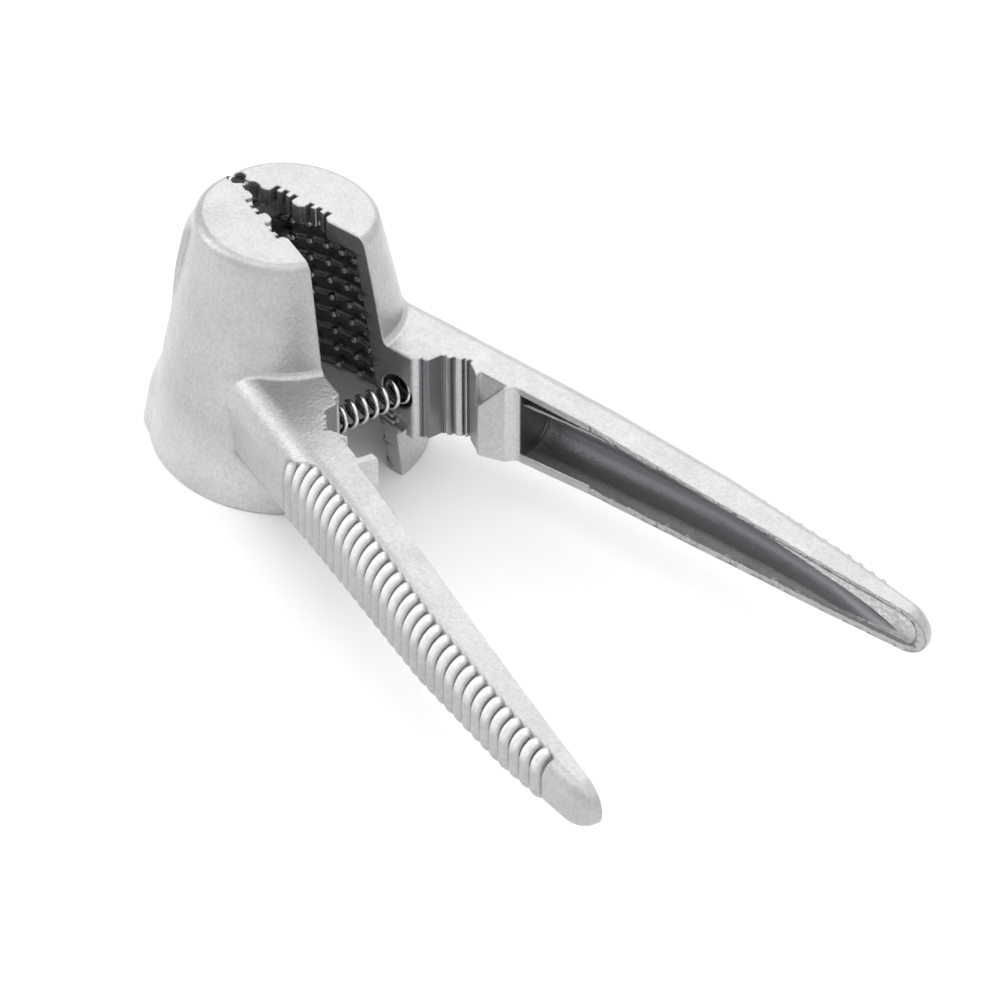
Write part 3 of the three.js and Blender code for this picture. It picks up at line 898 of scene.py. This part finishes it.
def coil_spring(name):
    """A compression coil of round wire across the gap, with flat ends to the wire."""
    low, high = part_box("jaw_spring")
    centre = (low + high) / 2
    half = (high.y - low.y) / 2 - COIL_INSET
    sides = WIRE_SIDES
    steps = int(COIL_TURNS * COIL_STEPS)
    verts, faces, shaded = [], [], []
    for i in range(steps + 1):
        t = i / steps
        angle = t * COIL_TURNS * 2 * math.pi
        eased = t + COIL_EASE * math.sin(2 * math.pi * t)
        outward = Vector((math.cos(angle), 0, math.sin(angle)))
        along = centre.y - half + 2 * half * eased
        middle = Vector((centre.x, along, centre.z)) + outward * COIL_RADIUS
        for k in range(sides):
            turn = 2 * math.pi * k / sides
            across = outward * (WIRE_RADIUS * math.cos(turn))
            verts.append(middle + across + Vector((0, WIRE_RADIUS * math.sin(turn), 0)))
            shaded.append(float(smooth(math.cos(turn), *COIL_INSIDE)))
    for i in range(steps):
        for k in range(sides):
            a, b = i * sides + k, i * sides + (k + 1) % sides
            faces.append((a, a + sides, b + sides, b))
    faces.append(tuple(range(sides)))
    faces.append(tuple(range(steps * sides, (steps + 1) * sides))[::-1])
    mesh = bpy.data.meshes.new(name)
    mesh.from_pydata([tuple(v) for v in verts], [], faces)
    mesh.polygons.foreach_set("use_smooth", [True] * len(mesh.polygons))
    # Painted shade on the side of the wire that faces the coil's axis.
    layer = mesh.attributes.new("coil_inside_shade", "FLOAT", "POINT")
    layer.data.foreach_set("value", shaded)
    mesh.update()
    piece = bpy.data.objects.new(name, mesh)
    bpy.context.scene.collection.objects.link(piece)
    return piece, centre


spring, spring_centre = coil_spring("coil_spring")


# --- Materials --------------------------------------------------------------------------------------

def new_material(name):
    material = bpy.data.materials.new(name)
    material.use_nodes = True
    nodes = material.node_tree.nodes
    nodes.clear()
    output = nodes.new("ShaderNodeOutputMaterial")
    shader = nodes.new("ShaderNodeBsdfPrincipled")
    material.node_tree.links.new(shader.outputs["BSDF"], output.inputs["Surface"])
    return material, shader


def noise(material, scale, detail, roughness=0.5):
    tree = material.node_tree
    place = tree.nodes.new("ShaderNodeTexCoord")
    texture = tree.nodes.new("ShaderNodeTexNoise")
    texture.inputs["Scale"].default_value = scale
    texture.inputs["Detail"].default_value = detail
    texture.inputs["Roughness"].default_value = roughness
    tree.links.new(place.outputs["Object"], texture.inputs["Vector"])
    return texture.outputs["Fac"]


def height(material):
    """Height above the table as a part of the cup's height."""
    tree = material.node_tree
    place = tree.nodes.new("ShaderNodeTexCoord")
    axes = tree.nodes.new("ShaderNodeSeparateXYZ")
    scaled = tree.nodes.new("ShaderNodeMath")
    scaled.operation = "DIVIDE"
    scaled.inputs[1].default_value = CUP_HEIGHT * MM
    tree.links.new(place.outputs["Object"], axes.inputs["Vector"])
    tree.links.new(axes.outputs["Z"], scaled.inputs[0])
    return scaled.outputs["Value"]


def ramp(material, source, stops):
    node = material.node_tree.nodes.new("ShaderNodeValToRGB")
    elements = node.color_ramp.elements
    while len(elements) < len(stops):
        elements.new(0.5)
    for element, (position, value) in zip(elements, stops):
        element.position = position
        element.color = (*value, 1) if isinstance(value, tuple) else (value, value, value, 1)
    material.node_tree.links.new(source, node.inputs["Fac"])
    return node.outputs["Color"]


def mixed(material, factor, low, high, blend="MIX"):
    node = material.node_tree.nodes.new("ShaderNodeMix")
    node.data_type = "RGBA"
    node.blend_type = blend
    links = material.node_tree.links
    sockets = [s for s in node.inputs if s.type == "RGBA"]
    for socket, value in zip(sockets, (low, high)):
        if isinstance(value, tuple):
            socket.default_value = (*value, 1)
        else:
            links.new(value, socket)
    if isinstance(factor, float):
        node.inputs[0].default_value = factor
    else:
        links.new(factor, node.inputs[0])
    return [s for s in node.outputs if s.type == "RGBA"][0]


def attribute(material, name):
    node = material.node_tree.nodes.new("ShaderNodeAttribute")
    node.attribute_name = name
    return node.outputs["Fac"]


def bump(material, source, distance, strength, normal=None):
    node = material.node_tree.nodes.new("ShaderNodeBump")
    node.inputs["Distance"].default_value = distance
    node.inputs["Strength"].default_value = strength
    material.node_tree.links.new(source, node.inputs["Height"])
    if normal is not None:
        material.node_tree.links.new(normal, node.inputs["Normal"])
    return node.outputs["Normal"]


# Base colours of the casting, then the stops of its ramps as (place, colour or factor).
# Painted highlight on the ribs' crests, and painted shade at their roots.
RIB_HIGHLIGHT_TONE = (0.7, 0.695, 0.69)
RIB_ROOT_SHADE_TONE = (0.24, 0.238, 0.242)
# Painted shade low in the channel.
CHANNEL_LOW_SHADE_TONE = (0.2, 0.197, 0.207)
PARTING_TONE = (0.46, 0.455, 0.465)
JAW_TONE = (0.62, 0.615, 0.62)
# Painted shade in the grooves and recesses.
HOLLOW_SHADE_TONE = (0.16, 0.157, 0.165)
# Painted shade in the cup's valleys, and a painted highlight on its studs.
VALLEY_SHADE_TONE = (0.13, 0.128, 0.135)
STUD_HIGHLIGHT_TONE = (0.85, 0.84, 0.86)
CLEAN_STOPS = ((0.3, (0.385, 0.385, 0.378)), (0.7, (0.435, 0.435, 0.424)))
# The cup's inside is painted darker, as shade.
CUP_SHADE_STOPS = ((0.3, (0.26, 0.255, 0.265)), (0.7, (0.4, 0.39, 0.405)))
CHANNEL_STOPS = ((0.3, (0.3, 0.297, 0.305)), (0.7, (0.85, 0.84, 0.82)))
SPECKLE_STOPS = ((0.3, 0.88), (0.5, 0.98), (0.75, 1.1))
# Painted reflection of the bright floor: the casting is lighter near the table.
FLOOR_REFLECTION_STOPS = ((0.1, 1.3), (0.3, 1.0))
ROUGH_STOPS = ((0.3, 0.26), (0.75, 0.38))
CUP_ROUGHNESS = (0.22, 0.22, 0.22)
CHANNEL_ROUGHNESS = (0.38, 0.38, 0.38)
ALLOY_METALLIC = 0.85

# Noise of the casting: scale, detail and, where it isn't the usual one, roughness.
CLOUD_NOISE = (90.0, 3.0)
SPECKLE_NOISE = (1300.0, 2.0, 0.7)
PITTED_NOISE = (1100.0, 2.0, 0.8)
ROUGH_NOISE = (260.0, 4.0)
GRAIN_NOISE = (1500.0, 3.0, 0.6)
WAVE_NOISE = (230.0, 2.0)
GRAIN_BUMP = (0.0001, 0.9)    # depth, m, and strength
WAVE_BUMP = (0.00018, 0.5)


def cast_alloy():
    """Grainy cast alloy whose tone follows the marks that mark_surface stores."""
    material, shader = new_material("cast_alloy")
    links = material.node_tree.links
    shader.inputs["Metallic"].default_value = ALLOY_METALLIC
    cloud = noise(material, *CLOUD_NOISE)
    speckle = ramp(material, noise(material, *SPECKLE_NOISE), SPECKLE_STOPS)
    clean = ramp(material, cloud, CLEAN_STOPS)
    dark = ramp(material, cloud, CUP_SHADE_STOPS)
    pitted = noise(material, *PITTED_NOISE)
    channel_tone = ramp(material, pitted, CHANNEL_STOPS)
    # Painted reflection of the floor, lighter near the table.
    low = ramp(material, height(material), FLOOR_REFLECTION_STOPS)
    clean = mixed(material, 1.0, clean, low, "MULTIPLY")
    clean = mixed(material, attribute(material, "rib_highlight"), clean, RIB_HIGHLIGHT_TONE)
    clean = mixed(material, attribute(material, "rib_root_shade"), clean, RIB_ROOT_SHADE_TONE)
    channel_tone = mixed(material, attribute(material, "channel_low_shade"), channel_tone, CHANNEL_LOW_SHADE_TONE)
    parted = mixed(material, attribute(material, "parting_face"), clean, PARTING_TONE)
    parted = mixed(material, attribute(material, "jaw_face"), parted, JAW_TONE)
    parted = mixed(material, 1.0, parted, speckle, "MULTIPLY")
    # Painted shade in grooves, recesses and on the channel's end wall.
    hollow_shaded = mixed(material, attribute(material, "hollow_shade"), parted, HOLLOW_SHADE_TONE)
    handle = mixed(material, attribute(material, "channel"), hollow_shaded, channel_tone)
    # Painted shade inside the cup and in its valleys, and a painted highlight on the studs.
    dark = mixed(material, attribute(material, "valley_shade"), dark, VALLEY_SHADE_TONE)
    dark = mixed(material, attribute(material, "stud"), dark, STUD_HIGHLIGHT_TONE)
    colour = mixed(material, attribute(material, "cup_inside"), handle, dark)
    links.new(colour, shader.inputs["Base Color"])
    rough = ramp(material, noise(material, *ROUGH_NOISE), ROUGH_STOPS)
    rough = mixed(material, attribute(material, "cup_inside"), rough, CUP_ROUGHNESS)
    rough = mixed(material, attribute(material, "channel"), rough, CHANNEL_ROUGHNESS)
    links.new(rough, shader.inputs["Roughness"])
    grain = bump(material, noise(material, *GRAIN_NOISE), *GRAIN_BUMP)
    waves = bump(material, noise(material, *WAVE_NOISE), *WAVE_BUMP, grain)
    links.new(waves, shader.inputs["Normal"])
    return material


STEEL_SHADE_TONE = (0.04, 0.04, 0.04)
STEEL_TONE_NOISE = (400.0, 3.0)
STEEL_ROUGH_NOISE = (900.0, 2.0)
STEEL_GRAIN_NOISE = (2500.0, 2.0)
STEEL_GRAIN_BUMP = (0.00002, 0.3)   # depth, m, and strength
STEEL_ROUGH_SPREAD = 0.1


def steel(name, low, high, rough):
    """Drawn steel between two greys, with painted shade on the side of a wire facing the coil's axis."""
    material, shader = new_material(name)
    links = material.node_tree.links
    shader.inputs["Metallic"].default_value = 1.0
    colour = ramp(material, noise(material, *STEEL_TONE_NOISE), ((0.3, low), (0.7, high)))
    colour = mixed(material, attribute(material, "coil_inside_shade"), colour, STEEL_SHADE_TONE)
    links.new(colour, shader.inputs["Base Color"])
    rough_stops = ((0.3, rough), (0.7, rough + STEEL_ROUGH_SPREAD))
    links.new(ramp(material, noise(material, *STEEL_ROUGH_NOISE), rough_stops), shader.inputs["Roughness"])
    grain = bump(material, noise(material, *STEEL_GRAIN_NOISE), *STEEL_GRAIN_BUMP)
    links.new(grain, shader.inputs["Normal"])
    return material


def give(piece, material):
    """Puts one material on the whole piece."""
    piece.data.materials.clear()
    piece.data.materials.append(material)


alloy = cast_alloy()
give(back_lever, alloy)
give(front_lever, alloy)
give(spring, steel("spring_wire", 0.55, 0.75, 0.16))
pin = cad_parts["hinge_pin"]
pin_steel = steel("pin_steel", 0.03, 0.06, 0.45)
for pin_slot in pin.material_slots:
    pin_slot.material = pin_steel

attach(back_lever, "back_lever")
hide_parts("back_lever_casting")
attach(front_lever, "front_lever")
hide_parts("front_lever_casting")
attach(spring, "spring")
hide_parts("jaw_spring")
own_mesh(spring)


# --- Studio -----------------------------------------------------------------------------------------

FLOOR_SIZE = 3.0


def floor():
    """A pale matt floor that reaches past the picture on every side."""
    size = FLOOR_SIZE
    mesh = bpy.data.meshes.new("floor")
    corners = [(-size, -size, 0), (size, -size, 0), (size, size, 0), (-size, size, 0)]
    mesh.from_pydata(corners, [], [(0, 1, 2, 3)])
    piece = bpy.data.objects.new("floor", mesh)
    bpy.context.scene.collection.objects.link(piece)
    material, shader = new_material("floor_white")
    tone = ramp(material, noise(material, 3.0, 2.0), ((0.3, 0.93), (0.7, 0.95)))
    material.node_tree.links.new(tone, shader.inputs["Base Color"])
    shader.inputs["Roughness"].default_value = 0.9
    shader.inputs["Specular IOR Level"].default_value = 0.1
    give(piece, material)


def softbox(name, place, aim, size, power):
    """A rectangular area lamp turned towards a point."""
    light = bpy.data.lights.new(name, "AREA")
    light.shape = "RECTANGLE"
    light.size, light.size_y = size
    light.energy = power
    lamp = bpy.data.objects.new(name, light)
    lamp.location = place
    lamp.rotation_mode = "QUATERNION"
    lamp.rotation_quaternion = (Vector(aim) - Vector(place)).to_track_quat("-Z", "Y")
    bpy.context.scene.collection.objects.link(lamp)


CAMERA_PLACE = (0.6549, -0.5077, 0.6815)
CAMERA_TARGET = (0.00920, 0.0, 0.02412)
CAMERA_LENS = 200.2
CAMERA_SENSOR = 36.0
CAMERA_CLIP = (0.05, 20.0)


def camera():
    data = bpy.data.cameras.new("camera")
    data.lens = CAMERA_LENS
    data.sensor_width = CAMERA_SENSOR
    data.clip_start, data.clip_end = CAMERA_CLIP
    view = bpy.data.objects.new("camera", data)
    place = Vector(CAMERA_PLACE)
    target = Vector(CAMERA_TARGET)
    view.location = place
    view.rotation_mode = "QUATERNION"
    view.rotation_quaternion = (target - place).to_track_quat("-Z", "Y")
    bpy.context.scene.collection.objects.link(view)
    bpy.context.scene.camera = view


# Lamps: name, place and aim in metres, size in metres, power in watts.
LAMP_AIM = (0.0, 0.0, 0.02)
LAMPS = (
    ("back", (-0.6, 0.64, 0.68), LAMP_AIM, (0.85, 0.85), 2.4),
    ("top", (0.1, 0.0, 0.8), LAMP_AIM, (0.8, 0.8), 1.0),
    ("left", (-0.72, -0.43, 0.36), LAMP_AIM, (0.25, 0.5), 0.8),
    ("fill", (-0.55, -0.35, 0.9), (-0.15, -0.15, 0.0), (0.7, 0.7), 1.0),
)
WORLD_COLOUR = (0.97, 0.98, 1.0, 1)
WORLD_STRENGTH = 1.2


def studio():
    """The floor, the lamps, the pale surroundings and the camera."""
    floor()
    for lamp in LAMPS:
        softbox(*lamp)
    world = bpy.data.worlds.new("studio")
    world.use_nodes = True
    background = world.node_tree.nodes["Background"]
    background.inputs["Color"].default_value = WORLD_COLOUR
    background.inputs["Strength"].default_value = WORLD_STRENGTH
    bpy.context.scene.world = world
    bpy.context.scene.view_settings.view_transform = "Standard"
    camera()


studio()
